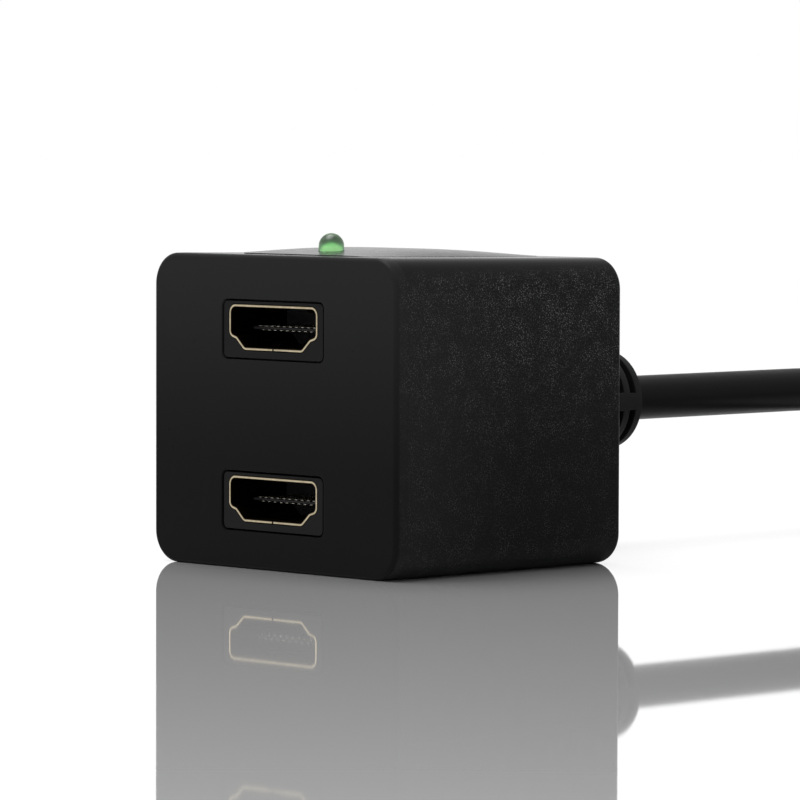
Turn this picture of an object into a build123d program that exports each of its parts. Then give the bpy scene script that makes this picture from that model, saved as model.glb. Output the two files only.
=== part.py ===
from build123d import *
import math
import os

os.makedirs("parts", exist_ok=True)

# Splitter box with two stacked sockets and a captive lead that ends in a plug.
# Millimetres. X runs across the sockets, +Y from the socket face to the lead, Z up from the bottom face.

# Housing
housing_width = 40.0
housing_depth = 36.0
housing_height = 35.5
roof_drop = 0.45
long_edge_radius = 3.6
back_edge_chamfer = 0.6
wall = 1.7
parting_groove_depth = 0.15
parting_groove_height = 0.2
lip_thickness = 0.7
lip_height = 1.2
lip_clearance = 0.1

# Front panel
panel_thickness = 1.8
panel_edge_chamfer = 0.3
panel_gap = 0.05
spigot_depth = 2.0
spigot_wall = 1.0
spigot_clearance = 0.12
snap_radius = 0.35
snap_sides = 8
snap_length = 4.0
snap_clearance = 0.1

# Sockets: the opening is wide at the top and drawn in at the bottom
port_below_top = 8.2
port_above_bottom = 7.9
opening_width = 14.0
opening_height = 4.55
opening_side = 3.05
opening_shoulder_in = 1.0
opening_shoulder_drop = 0.3
opening_foot_in = 2.3
opening_top_radius = 0.7
opening_corner_radius = 0.5
window_width = 16.8
window_height = 6.8
window_radius = 0.8
window_drop = 0.25
insert_recess = 0.25
insert_clearance = 0.06
insert_flange = 0.9
insert_flange_thickness = 1.0
socket_metal_thickness = 0.32
socket_recess = 0.1
socket_depth = 11.2
socket_seam = 0.15
socket_leg_width = 1.2
socket_leg_rise = 0.6
socket_leg_length = 2.3
socket_leg_spacing = 9.0
tongue_recess = 2.0
tongue_drop = 0.1
tongue_width = 10.9
tongue_thickness = 0.55
tongue_nose = 0.12
block_length = 2.6
block_clearance = 0.05
contact_pitch = 1.0
upper_contact_count = 10
lower_contact_count = 9
contact_width = 0.42
contact_thickness = 0.08
contact_setback = 0.05
contact_clearance = 0.03

# Top label and status light
label_width = 20.0
label_length = 29.0
label_offset = 0.5
label_radius = 1.5
label_edge = 0.1
label_rise = 0.6
led_setback = 9.1
led_radius = 1.45
led_clearance = 0.1
led_height_above_top = 2.6
led_flange_radius = 1.85
led_flange_thickness = 0.9
led_lead_size = 0.45
led_lead_spacing = 2.54
led_lead_drop = 2.0
led_lead_through = 0.6

# Circuit board and what it carries
board_thickness = 1.6
board_edge_gap = 0.25
board_hole_clearance = 0.15
rib_height = 1.5
rib_thickness = 1.2
rib_clearance = 0.1
chip_size = 10.0
chip_thickness = 1.4
chip_standoff = 0.1
chip_edge_gap = 4.05
chip_pins_per_side = 6
chip_pin_pitch = 1.27
chip_pin_width = 0.28
chip_pin_thickness = 0.15
chip_pin_reach = 1.0
crystal_length = 5.0
crystal_width = 3.2
crystal_thickness = 1.1
regulator_edge_gap = 2.8
regulator_length = 6.5
regulator_width = 3.5
regulator_thickness = 1.6
can_edge_gap = 1.5
can_radius = 2.5
can_height = 5.4
passive_length = 1.6
passive_width = 0.8
passive_thickness = 0.7
passive_pitch = 1.8
passive_row_offset = 5.0
passives_per_row = 5

# Lead
cable_diameter = 5.3
cable_sides = 10
cable_drop = 0.25
jacket_end_setback = 5.2
wire_diameter = 1.1
wire_sides = 6
wire_circle_radius = 0.9
wire_pad_spacing = 3.2
wire_pad_gap = 7.0
wire_straight = 4.5
wire_bend_radius = 2.5
crimp_length = 2.0
crimp_thickness = 0.8
crimp_clearance = 0.05

# Strain relief on the housing: a tapered sleeve with slots cut from above and below
relief_root_radius = 7.4
relief_tip_radius = 5.85
relief_collar_length = 3.1
relief_slots = 7
relief_slot_width = 1.0
relief_ring_width = 1.2
relief_core_radius = 3.55
relief_bridge_width = 2.2
relief_sides = 16
relief_flare_length = 1.4
relief_flare_lip = 0.3
relief_neck_radius = 4.4
relief_neck_clearance = 0.1
relief_flange_radius = 6.4
relief_flange_thickness = 1.8
relief_bore_clearance = 0.03

# Coil of the lead on the floor, and its tie
coil_radius = 28.0
coil_pitch = 5.9
coil_turns = 1.5
coil_drop_turns = 0.5
coil_widening_turns = 0.75
tie_thickness = 0.5
tie_clearance = 0.15
tie_width = 4.0

# Plug on the end of the lead
plug_opening_width = 13.3
plug_opening_height = 3.85
plug_opening_side = 2.6
plug_shell_length = 11.9
plug_metal_thickness = 0.3
plug_slot_width = 11.4
plug_slot_height = 1.2
plug_slot_depth = 8.6
plug_insulator_setback = 0.3
plug_insulator_clearance = 0.04
plug_contact_proud = 0.05
plug_contact_sunk = 0.15
plug_contact_setback = 1.0
plug_grip_width = 20.6
plug_grip_height = 10.8
plug_grip_length = 21.0
plug_grip_radius = 2.6
plug_grip_chamfer = 0.6
plug_grip_taper_length = 5.0
plug_grip_neck_width = 14.5
plug_grip_neck_height = 9.0
plug_floor_gap = 0.1
plug_ridge_count = 4
plug_ridge_pitch = 1.8
plug_ridge_depth = 0.35
plug_ridge_width = 0.8
plug_relief_length = 12.0
plug_relief_root_radius = 4.3
plug_relief_tip_radius = 3.4
plug_relief_slots = 4
plug_relief_slot_width = 0.9
plug_relief_ring_width = 1.2
plug_relief_bridge_width = 2.0
plug_relief_sides = 12
plug_relief_core_radius = 2.95

# A hair's breadth, by which joined pieces overlap and cuts run past a face
hair = 0.01

# Places worked out from the sizes
y_front = -housing_depth / 2
y_back = housing_depth / 2
panel_back = y_front + panel_thickness
shell_front = panel_back + panel_gap
roof_angle = math.degrees(math.atan2(roof_drop, y_back - shell_front))
parting_height = housing_height / 2
cavity_back = y_back - wall
spigot_inset = wall + spigot_clearance
port_heights = {
    "upper": housing_height - port_below_top,
    "lower": port_above_bottom,
}
mouth_y = y_front + socket_recess
board_front = mouth_y + socket_depth
board_back = board_front + board_thickness
tongue_front = mouth_y + tongue_recess
block_front = board_front - block_length
led_y = y_front + led_setback
led_flange_top = housing_height - wall - led_clearance
led_wire_height = led_flange_top - led_flange_thickness - led_lead_drop
cable_radius = cable_diameter / 2
cable_height = parting_height - cable_drop
board_side = housing_width / 2 - wall - board_edge_gap
chip_x = chip_edge_gap + chip_size / 2 - board_side
regulator_x = regulator_edge_gap + regulator_length / 2 - board_side
can_x = board_side - can_edge_gap - can_radius
wire_pad_x = chip_x + chip_size / 2 + chip_pin_reach + wire_pad_gap
jacket_end_y = cavity_back - jacket_end_setback
relief_slot_pitch = relief_slot_width + relief_ring_width
relief_length = relief_collar_length + relief_slots * relief_slot_pitch
relief_end_y = y_back + relief_length
exit_y = relief_end_y + relief_flare_length
coil_axis_height = cable_radius + tie_clearance + tie_thickness
coil_centre_x = coil_radius
tail_x = coil_centre_x + coil_radius + coil_pitch
plug_axis_height = plug_grip_height / 2 + plug_floor_gap


def export(node, solid):
    """Writes one named piece."""
    export_step(solid, f"parts/{node}.step")


def along_y(outline, y_start, y_end):
    """Extrudes an outline drawn in X and Z from y_start to y_end."""
    plane = Plane(origin=(0, y_end, 0), x_dir=(1, 0, 0), z_dir=(0, -1, 0))
    return extrude(plane * outline, amount=y_end - y_start)


def slab(x_range, y_range, z_range):
    """A box between two X, two Y and two Z values."""
    sizes = [high - low for low, high in (x_range, y_range, z_range)]
    middle = [(low + high) / 2 for low, high in (x_range, y_range, z_range)]
    return Pos(*middle) * Box(*sizes)


def round_y(radius_start, radius_end, y_start, y_end, x=0.0, z=0.0):
    """A cylinder or a cone along Y."""
    length = y_end - y_start
    if radius_start == radius_end:
        solid = Cylinder(radius_start, length)
    else:
        solid = Cone(radius_start, radius_end, length)
    return Pos(x, (y_start + y_end) / 2, z) * Rot(-90, 0, 0) * solid


def facetted_y(radius_start, radius_end, y_start, y_end, sides, x=0.0, z=0.0):
    """The same as a prism or a taper of many flat sides, for a form that repeats."""
    planes = [Plane(origin=(x, y, z), x_dir=(1, 0, 0), z_dir=(0, 1, 0)) for y in (y_start, y_end)]
    outlines = [
        plane * RegularPolygon(radius, sides) for plane, radius in zip(planes, (radius_start, radius_end))
    ]
    return loft(outlines, ruled=True)


def housing_slice(inset, y_start, y_end):
    """The housing's rounded outline, drawn in by inset, between two Y values."""
    outline = RectangleRounded(
        housing_width - 2 * inset, housing_height - 2 * inset, long_edge_radius - inset
    )
    return along_y(Pos(0, parting_height) * outline, y_start, y_end)


def d_outline(grow=0.0, width=opening_width, height=opening_height, side=opening_side):
    """A socket's or plug's outline about its own centre, with its skin moved out by grow."""
    half = width / 2
    top = height / 2
    shoulder = half - opening_shoulder_in
    foot = half - opening_foot_in
    right = [
        (half, top),
        (half, top - side),
        (shoulder, top - side - opening_shoulder_drop),
        (foot, -top),
    ]
    left = [(-x, z) for x, z in reversed(right)]
    face = make_face(Polyline(*right, *left, close=True))
    if grow:
        face = offset(face, amount=grow, kind=Kind.INTERSECTION)
    face = fillet(face.vertices().sort_by(Axis.Y)[-2:], opening_top_radius + grow)
    return fillet(face.vertices().sort_by(Axis.Y)[:-4], opening_corner_radius + grow)


def contact_places():
    """Each contact's place across the row, and 1 above the tongue or -1 below it."""
    for count, side in ((upper_contact_count, 1), (lower_contact_count, -1)):
        for index in range(count):
            yield (index - (count - 1) / 2) * contact_pitch, side


def make_front_panel():
    plate = housing_slice(0, y_front, panel_back)
    plate = chamfer(plate.faces().sort_by(Axis.Y)[0].edges(), panel_edge_chamfer)
    spigot_end = panel_back + spigot_depth
    spigot = housing_slice(spigot_inset, panel_back, spigot_end)
    spigot -= housing_slice(spigot_inset + spigot_wall, panel_back, spigot_end)
    panel = plate + spigot + snaps(snap_radius, snap_length)
    for height in port_heights.values():
        window = RectangleRounded(window_width, window_height, window_radius)
        panel -= along_y(Pos(0, height - window_drop) * window, y_front - 1, panel_back + 1)
    return panel


def snaps(radius, length):
    """Four snap beads on the sides of the panel's spigot, or the pockets for them."""
    x = housing_width / 2 - spigot_inset
    y = panel_back + spigot_depth / 2
    beads = [
        Pos(side * x, y, housing_height * share - length / 2) * extrude(
            RegularPolygon(radius, snap_sides), amount=length
        )
        for side in (-1, 1)
        for share in (0.27, 0.73)
    ]
    return beads[0] + beads[1:]


def make_shell_body():
    """Both halves of the grained housing in one, before they are parted.

    The roof comes down a little toward the back.
    """
    ends = []
    for y, height in ((shell_front, housing_height), (y_back, housing_height - roof_drop)):
        plane = Plane(origin=(0, y, height / 2), x_dir=(-1, 0, 0), z_dir=(0, 1, 0))
        ends.append(plane * RectangleRounded(housing_width, height, long_edge_radius))
    body = loft(ends, ruled=True)
    body = chamfer(body.faces().sort_by(Axis.Y)[-1].edges(), back_edge_chamfer)
    body -= housing_slice(wall, shell_front, cavity_back)
    rib_spans = (
        (board_front - rib_clearance - rib_thickness, board_front - rib_clearance),
        (board_back + rib_clearance, board_back + rib_clearance + rib_thickness),
    )
    inner_x = housing_width / 2 - wall
    for rib_span in rib_spans:
        for side in (-1, 1):
            xs = sorted((side * (inner_x - rib_height), side * (inner_x + wall / 2)))
            rib = slab(xs, rib_span, (wall / 2, housing_height - wall / 2))
            body += rib & housing_slice(wall / 2, *rib_span)
    body -= snaps(snap_radius + snap_clearance, snap_length + 2 * snap_clearance)
    neck_hole = relief_neck_radius + relief_neck_clearance
    body -= round_y(neck_hole, neck_hole, cavity_back - 1, y_back + 1, z=cable_height)
    return body


def lip(outer_inset, height):
    """The ring at the parting line inside the walls, open toward the front panel."""
    z_range = (parting_height, parting_height + height)
    outer_x = housing_width / 2 - outer_inset
    inner_x = housing_width / 2 - wall
    ring = slab((-outer_x, outer_x), (shell_front, y_back - outer_inset), z_range)
    ring -= slab((-inner_x, inner_x), (shell_front, cavity_back), z_range)
    neck_hole = relief_neck_radius + relief_neck_clearance
    return ring - round_y(neck_hole, neck_hole, cavity_back - 1, y_back, z=cable_height)


def make_lower_shell(body):
    below = slab((-housing_width, housing_width), (y_front, 2 * y_back), (-1, parting_height))
    return (body & below) + lip(wall - lip_thickness, lip_height)


def make_upper_shell(body):
    above = slab(
        (-housing_width, housing_width), (y_front, 2 * y_back), (parting_height, housing_height + 1)
    )
    shell = body & above
    shell -= lip(wall - lip_thickness - lip_clearance, lip_height + lip_clearance)
    groove = housing_slice(0, shell_front, y_back)
    groove -= housing_slice(parting_groove_depth, shell_front, y_back - parting_groove_depth)
    groove &= slab(
        (-housing_width, housing_width),
        (y_front, y_back),
        (parting_height, parting_height + parting_groove_height),
    )
    return shell - groove - led_hole()


def led_hole():
    hole = Cylinder(led_radius + led_clearance, 4 * wall)
    return Pos(0, led_y, housing_height) * hole


def make_top_label():
    """A thin blank plate that arches a little from front to back."""
    front = label_offset - label_length / 2
    back = label_offset + label_length / 2
    base = housing_height
    sides = Polyline((back, base + label_edge), (back, base), (front, base), (front, base + label_edge))
    arch = ThreePointArc(
        (front, base + label_edge), (label_offset, base + label_rise), (back, base + label_edge)
    )
    side_plane = Plane(origin=(-label_width / 2, 0, 0), x_dir=(0, 1, 0), z_dir=(1, 0, 0))
    blank = extrude(side_plane * make_face(sides + arch), amount=label_width)
    outline = RectangleRounded(label_width, label_length, label_radius)
    blank &= extrude(Pos(0, label_offset, base) * outline, amount=label_rise)
    roof_front = Pos(0, shell_front, base)
    return roof_front * Rot(-roof_angle, 0, 0) * roof_front.inverse() * blank - led_hole()


def make_port_insert(height):
    """The black surround that fills a window of the panel, with a flange behind it."""
    fit = 2 * insert_clearance
    middle = Pos(0, height - window_drop)
    face = RectangleRounded(window_width - fit, window_height - fit, window_radius - insert_clearance)
    flange = RectangleRounded(
        window_width + 2 * insert_flange, window_height + 2 * insert_flange, window_radius
    )
    flange_front = panel_back + insert_clearance
    insert = along_y(middle * face, y_front + insert_recess, flange_front)
    insert += along_y(middle * flange, flange_front, flange_front + insert_flange_thickness)
    hole = Pos(0, height) * d_outline(socket_metal_thickness + insert_clearance)
    return insert - along_y(hole, y_front - 1, flange_front + insert_flange_thickness + 1)


def socket_legs(height, grow=0.0):
    """Two legs on the sides and two on the top of a socket's metal, through the board."""
    half = socket_leg_width / 2 + grow
    y_range = (board_front - hair, board_front + socket_leg_length)
    side_middle = height + socket_leg_rise
    side_x = opening_width / 2
    top = height + opening_height / 2
    legs = []
    for side in (-1, 1):
        xs = sorted((side * (side_x - grow), side * (side_x + socket_metal_thickness + grow)))
        legs.append(slab(xs, y_range, (side_middle - half, side_middle + half)))
        x = side * socket_leg_spacing / 2
        zs = (top - grow, top + socket_metal_thickness + grow)
        legs.append(slab((x - half, x + half), y_range, zs))
    return legs


def make_socket_metal(height):
    """The bent metal tube of a socket, with its butt seam along the bottom."""
    place = Pos(0, height)
    metal = along_y(place * d_outline(socket_metal_thickness), mouth_y, board_front)
    metal -= along_y(place * d_outline(), mouth_y - 1, board_front + 1)
    metal -= slab(
        (-socket_seam / 2, socket_seam / 2),
        (mouth_y - 1, board_front + 1),
        (height - opening_height, height - opening_height / 4),
    )
    for leg in socket_legs(height):
        metal += leg
    return metal


def make_tongue(height):
    """The socket's insulator: a block on the board and the thin tongue that it carries."""
    place = Pos(0, height)
    block = along_y(place * d_outline(-block_clearance), block_front, board_front)
    half = tongue_thickness / 2
    profile = Polyline(
        (tongue_front, half - tongue_nose),
        (tongue_front + tongue_nose, half),
        (board_front, half),
        (board_front, -half),
        (tongue_front + tongue_nose, -half),
        (tongue_front, tongue_nose - half),
        close=True,
    )
    side_plane = Plane(
        origin=(-tongue_width / 2, 0, height - tongue_drop), x_dir=(0, 1, 0), z_dir=(1, 0, 0)
    )
    return block + extrude(side_plane * make_face(profile), amount=tongue_width)


def make_contacts(height):
    """Flat strips that lie on both faces of a socket's tongue, from its nose to its block."""
    inner = tongue_thickness / 2
    outer = inner + contact_thickness
    y_range = (tongue_front + tongue_nose + contact_setback, block_front)
    strips = []
    for x, side in contact_places():
        x_range = (x - contact_width / 2, x + contact_width / 2)
        strip = slab(x_range, y_range, sorted((side * inner, side * outer)))
        strips.append(Pos(0, 0, height - tongue_drop) * strip)
    return Compound(children=strips)


def make_led():
    top = housing_height + led_height_above_top
    dome_base = top - led_radius
    lens = Pos(0, led_y, (led_flange_top + dome_base) / 2) * Cylinder(
        led_radius, dome_base - led_flange_top
    )
    lens += Pos(0, led_y, dome_base) * Sphere(led_radius)
    flange_middle = led_flange_top - led_flange_thickness / 2
    return lens + Pos(0, led_y, flange_middle) * Cylinder(led_flange_radius, led_flange_thickness)


def led_lead_holes(size):
    """The places of the light's two wires in the board."""
    return [
        round_y(size, size, board_front - 1, board_back + 1, x=x, z=led_wire_height)
        for x in (-led_lead_spacing / 2, led_lead_spacing / 2)
    ]


def make_led_leads():
    half = led_lead_size / 2
    leads = []
    for side in (-1, 1):
        x = side * led_lead_spacing / 2
        down = slab(
            (x - half, x + half),
            (led_y - half, led_y + half),
            (led_wire_height - half, led_flange_top - led_flange_thickness),
        )
        across = slab(
            (x - half, x + half),
            (led_y - half, board_back + led_lead_through),
            (led_wire_height - half, led_wire_height + half),
        )
        leads.append(down + across)
    return Compound(children=leads)


def make_board():
    board = housing_slice(wall + board_edge_gap, board_front, board_back)
    for height in port_heights.values():
        for leg in socket_legs(height, board_hole_clearance):
            board -= leg
    for hole in led_lead_holes(led_lead_size / math.sqrt(2) + board_hole_clearance):
        board -= hole
    return board


def make_chip():
    front = board_back + chip_standoff
    body = slab(
        (chip_x - chip_size / 2, chip_x + chip_size / 2),
        (front, front + chip_thickness),
        (parting_height - chip_size / 2, parting_height + chip_size / 2),
    )
    return chamfer(body.edges().filter_by(Axis.Y), chip_standoff * 4)


def make_chip_pins():
    """Bent pins along the chip's four sides, from its waist down to the board."""
    waist = board_back + chip_standoff + chip_thickness / 2
    half = chip_size / 2
    side_plane = Plane(origin=(0, 0, 0), x_dir=(0, 0, 1), z_dir=(1, 0, 0))
    knee = half + chip_pin_reach / 2
    outline = Polyline(
        (half, -waist),
        (knee, -waist),
        (knee, -(board_back + chip_pin_thickness)),
        (half + chip_pin_reach, -(board_back + chip_pin_thickness)),
        (half + chip_pin_reach, -board_back),
        (knee - chip_pin_thickness, -board_back),
        (knee - chip_pin_thickness, -(waist - chip_pin_thickness)),
        (half, -(waist - chip_pin_thickness)),
        close=True,
    )
    pin = extrude(side_plane * make_face(outline), amount=chip_pin_width / 2, both=True)
    pins = []
    for quarter in range(4):
        for index in range(chip_pins_per_side):
            shift = (index - (chip_pins_per_side - 1) / 2) * chip_pin_pitch
            turned = Rot(0, 90 * quarter, 0) * Pos(shift, 0, 0) * pin
            pins.append(Pos(chip_x, 0, parting_height) * turned)
    return Compound(children=pins)


def on_board(x, height, length, width, thickness):
    """A flat component on the board's back face."""
    return slab(
        (x - length / 2, x + length / 2),
        (board_back, board_back + thickness),
        (height - width / 2, height + width / 2),
    )


def make_crystal():
    x = chip_x + chip_size / 2
    height = parting_height + chip_size / 2 + chip_pin_reach + crystal_width
    can = on_board(x, height, crystal_length, crystal_width, crystal_thickness)
    return fillet(can.edges().filter_by(Axis.Y), crystal_width / 8)


def make_regulator():
    height = parting_height - chip_size / 2 - chip_pin_reach - regulator_width
    body = on_board(regulator_x, height, regulator_length, regulator_width, regulator_thickness)
    tab = on_board(
        regulator_x,
        height + regulator_width / 2,
        regulator_length / 2,
        regulator_width,
        regulator_thickness / 4,
    )
    return body + tab


def make_capacitor_can():
    y_end = board_back + can_height
    return round_y(can_radius, can_radius, board_back, y_end, x=can_x, z=parting_height)


def make_passives():
    """Small chip resistors and capacitors, in a row above the lead's pads and one below."""
    pieces = []
    for row in (-1, 1):
        for index in range(passives_per_row):
            x = wire_pad_x + (index - (passives_per_row - 1) / 2) * passive_pitch
            height = parting_height + row * passive_row_offset
            pieces.append(on_board(x, height, passive_width, passive_length, passive_thickness))
    return Compound(children=pieces)


def make_wires():
    """Four bundles of the lead's inner wires, from the cut jacket to their pads."""
    wires = []
    for side, level in ((1, 1), (-1, 1), (-1, -1), (1, -1)):
        start_x = side * wire_circle_radius
        start_z = cable_height + level * wire_circle_radius
        end_x = wire_pad_x + side * wire_pad_spacing / 2
        end_z = parting_height + level * wire_pad_spacing / 2
        path = FilletPolyline(
            (start_x, jacket_end_y, start_z),
            (start_x, jacket_end_y - wire_straight, start_z),
            (end_x, board_back + wire_straight, end_z),
            (end_x, board_back, end_z),
            radius=wire_bend_radius,
        )
        start_plane = Plane(origin=(start_x, jacket_end_y, start_z), z_dir=(0, -1, 0))
        wires.append(sweep(start_plane * RegularPolygon(wire_diameter / 2, wire_sides), path=path))
    return Compound(children=wires)


def make_crimp_ring():
    inner = cable_radius + crimp_clearance
    outer = inner + crimp_thickness
    y_end = cavity_back - relief_flange_thickness
    ring = round_y(outer, outer, y_end - crimp_length, y_end, z=cable_height)
    return ring - round_y(inner, inner, y_end - crimp_length - 1, y_end + 1, z=cable_height)


def slotted(sleeve, y_first, count, slot, pitch, core, bridge, outer, sides, x=0.0, z=0.0):
    """Cuts slots from above and below into a sleeve along Y, leaving a bridge on each side."""
    for index in range(count):
        y_start = y_first + index * pitch
        y_range = (y_start, y_start + slot)
        ring = slab((x - outer, x + outer), y_range, (z - outer, z + outer))
        ring -= facetted_y(core, core, *y_range, sides, x=x, z=z)
        ring -= slab((x - outer, x + outer), y_range, (z - bridge / 2, z + bridge / 2))
        sleeve -= ring
    return sleeve


def make_strain_relief():
    z = cable_height
    flange_front = cavity_back - relief_flange_thickness
    sleeve = round_y(relief_flange_radius, relief_flange_radius, flange_front, cavity_back, z=z)
    sleeve += round_y(relief_neck_radius, relief_neck_radius, cavity_back, y_back, z=z)
    sleeve += facetted_y(
        relief_root_radius, relief_tip_radius, y_back, relief_end_y, relief_sides, z=z
    )
    sleeve = slotted(
        sleeve,
        y_back + relief_collar_length,
        relief_slots,
        relief_slot_width,
        relief_slot_pitch,
        relief_core_radius,
        relief_bridge_width,
        relief_root_radius + 1,
        relief_sides,
        z=z,
    )
    flare_tip = cable_radius + relief_flare_lip
    sleeve += round_y(relief_core_radius, flare_tip, relief_end_y, exit_y, z=z)
    bore = cable_radius + relief_bore_clearance
    return sleeve - round_y(bore, bore, flange_front - 1, exit_y + 1, z=z)


def lead_route():
    """The lead's centre line from the strain relief to its coil, with points chosen by hand."""
    return [
        (0.0, exit_y, cable_height),
        (0.0, 76.0, cable_height),
        (0.0, 88.7, 16.1),
    ]


def tail_route():
    """From the end of the coil up to the height of the plug, with points chosen by hand."""
    return [
        (tail_x, 88.7, coil_axis_height),
        (tail_x, 80.0, coil_axis_height),
        (tail_x, 69.0, plug_axis_height),
        (tail_x, 60.5, plug_axis_height),
    ]


def arc_radii(points):
    """For each corner 0.45 of the shorter run, divided by the tangent of half the turn."""
    radii = []
    for before, corner, after in zip(points, points[1:], points[2:]):
        run_in = Vector(*corner) - Vector(*before)
        run_out = Vector(*after) - Vector(*corner)
        half_turn = math.radians(run_in.get_angle(run_out)) / 2
        radii.append(0.45 * min(run_in.length, run_out.length) / math.tan(half_turn))
    return radii


def cable_section(origin, direction):
    """The lead's section as a polygon of many sides, across the given direction."""
    section = RegularPolygon(cable_radius, cable_sides)
    return Plane(origin=origin, x_dir=Vector(0, 0, 1).cross(direction), z_dir=direction) * section


def volume_share(tube, section, path):
    """The tube's volume against its section times its length."""
    return tube.volume / (section.area * path.length)


def make_tube(name, points):
    """A tube along straight runs joined by tangent arcs."""
    radii = arc_radii(points)
    print(name, "arc radii:", ", ".join(f"{radius:.1f}" for radius in radii))
    path = FilletPolyline(*points, radius=radii)
    section = cable_section(points[0], Vector(*points[1]) - Vector(*points[0]))
    tube = sweep(section, path=path)
    share = volume_share(tube, section, path)
    print(f"{name} length {path.length:.1f}, volume against section times length {share:.4f}")
    return tube


lead_slope = (lead_route()[-1][2] - lead_route()[-2][2]) / (
    lead_route()[-1][1] - lead_route()[-2][1]
)
coil_centre_y = lead_route()[-1][1] + cable_diameter
coil_top_height = lead_route()[-1][2] + lead_slope * cable_diameter


def coil_point(turn):
    """The coil's centre line after so many turns, clockwise from above.

    It comes down to the floor first, with the lead's slope at its start. Then it lies flat and
    widens by one pitch, so that its end runs beside the place where it reached the floor.
    """
    share = min(turn / coil_drop_turns, 1.0)
    drop_length = 2 * math.pi * coil_radius * coil_drop_turns
    drop = coil_top_height - coil_axis_height
    height = coil_top_height - drop * (3 * share**2 - 2 * share**3)
    height += lead_slope * drop_length * share * (1 - share) ** 2
    widening = min(max(turn - coil_drop_turns, 0.0) / coil_widening_turns, 1.0)
    radius = coil_radius + coil_pitch * widening
    angle = math.pi - 2 * math.pi * turn
    return Vector(
        coil_centre_x + radius * math.cos(angle),
        coil_centre_y + radius * math.sin(angle),
        height,
    )


def coil_direction(turn):
    before = coil_point(max(turn - hair / 100, 0.0))
    after = coil_point(min(turn + hair / 100, coil_turns))
    return (after - before).normalized()


def two_arcs(start, start_direction, end, end_direction):
    """Two circular arcs that leave start and reach end along the given directions."""
    chord = end - start
    both = start_direction + end_direction
    along = chord.dot(both)
    spread = 2 * (1 - start_direction.dot(end_direction))
    reach = (math.sqrt(along**2 + spread * chord.dot(chord)) - along) / spread
    middle = (start + end + (start_direction - end_direction) * reach) / 2
    first = Edge.make_tangent_arc(start, start_direction, middle)
    second = Edge.make_tangent_arc(middle, first.tangent_at(1), end)
    return [first, second]


def make_coil():
    """The coil as one tube: quarter turns of two arcs each, between straight ends."""
    quarters = round(4 * coil_turns)
    turns = [index / 4 for index in range(quarters + 1)]
    start = coil_point(0) - Vector(0, 1, lead_slope) * cable_diameter
    edges = [Edge.make_line(start, coil_point(0))]
    for turn, following in zip(turns, turns[1:]):
        edges += two_arcs(
            coil_point(turn), coil_direction(turn), coil_point(following), coil_direction(following)
        )
    end = coil_point(coil_turns)
    edges.append(Edge.make_line(end, end - Vector(0, cable_diameter, 0)))
    path = Wire(edges)
    section = cable_section(start, coil_direction(0))
    coil = sweep(section, path=path)
    share = volume_share(coil, section, path)
    print(f"cable_coil length {path.length:.1f}, volume against section times length {share:.4f}")
    print(f"cable_coil least gap to itself {coil_self_gap(path):.2f}")
    return coil


def coil_self_gap(path):
    """The least distance between the skins of two turns, on points along the centre line."""
    count = 400
    points = [path.position_at(index / count) for index in range(count + 1)]
    half_turn = round(count / coil_turns / 2)
    least = min(
        (points[low] - points[high]).length
        for low in range(count + 1)
        for high in range(low + half_turn, count + 1)
    )
    return least - cable_diameter


def make_tie():
    """A flat strap round the two passes of the lead that lie side by side on the floor."""
    inner_width = cable_diameter + coil_pitch + 2 * tie_clearance
    inner_height = cable_diameter + 2 * tie_clearance
    middle = Pos(coil_centre_x + coil_radius + coil_pitch / 2, coil_axis_height)
    outline = middle * RectangleRounded(
        inner_width + 2 * tie_thickness, inner_height + 2 * tie_thickness, cable_radius + tie_thickness
    )
    outline -= middle * RectangleRounded(inner_width, inner_height, cable_radius)
    return along_y(outline, coil_centre_y - tie_width / 2, coil_centre_y + tie_width / 2)


# The plug points toward -Y, so its pieces are drawn from the lead's end downward in Y.
plug_relief_end = tail_route()[-1][1]
plug_grip_end = plug_relief_end - plug_relief_length
plug_grip_start = plug_grip_end - plug_grip_length
plug_tip = plug_grip_start - plug_shell_length
plug_place = Pos(tail_x, plug_axis_height)


def make_plug_relief():
    x, z = tail_x, plug_axis_height
    sleeve = facetted_y(
        plug_relief_root_radius,
        plug_relief_tip_radius,
        plug_grip_end,
        plug_relief_end,
        plug_relief_sides,
        x=x,
        z=z,
    )
    pitch = plug_relief_slot_width + plug_relief_ring_width
    return slotted(
        sleeve,
        plug_relief_end - plug_relief_slots * pitch,
        plug_relief_slots,
        plug_relief_slot_width,
        pitch,
        plug_relief_core_radius,
        plug_relief_bridge_width,
        plug_relief_root_radius + 1,
        plug_relief_sides,
        x=x,
        z=z,
    )


def make_plug_grip():
    taper_start = plug_grip_end - plug_grip_taper_length
    outline = plug_place * RectangleRounded(plug_grip_width, plug_grip_height, plug_grip_radius)
    grip = along_y(outline, plug_grip_start, taper_start)
    grip = chamfer(grip.faces().sort_by(Axis.Y)[0].edges(), plug_grip_chamfer)
    planes = [
        Plane(origin=(tail_x, y, plug_axis_height), x_dir=(1, 0, 0), z_dir=(0, 1, 0))
        for y in (taper_start, plug_grip_end)
    ]
    ends = [
        planes[0] * RectangleRounded(plug_grip_width, plug_grip_height, plug_grip_radius),
        planes[1] * RectangleRounded(plug_grip_neck_width, plug_grip_neck_height, plug_grip_radius),
    ]
    grip += loft(ends, ruled=True)
    middle_y = (plug_grip_start + taper_start) / 2
    for side in (-1, 1):
        for index in range(plug_ridge_count):
            y = middle_y + (index - (plug_ridge_count - 1) / 2) * plug_ridge_pitch
            x = tail_x + side * plug_grip_width / 2
            xs = (x - plug_ridge_depth, x + plug_ridge_depth)
            ys = (y - plug_ridge_width / 2, y + plug_ridge_width / 2)
            grip -= slab(xs, ys, (0, 2 * plug_axis_height))
    return grip


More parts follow.
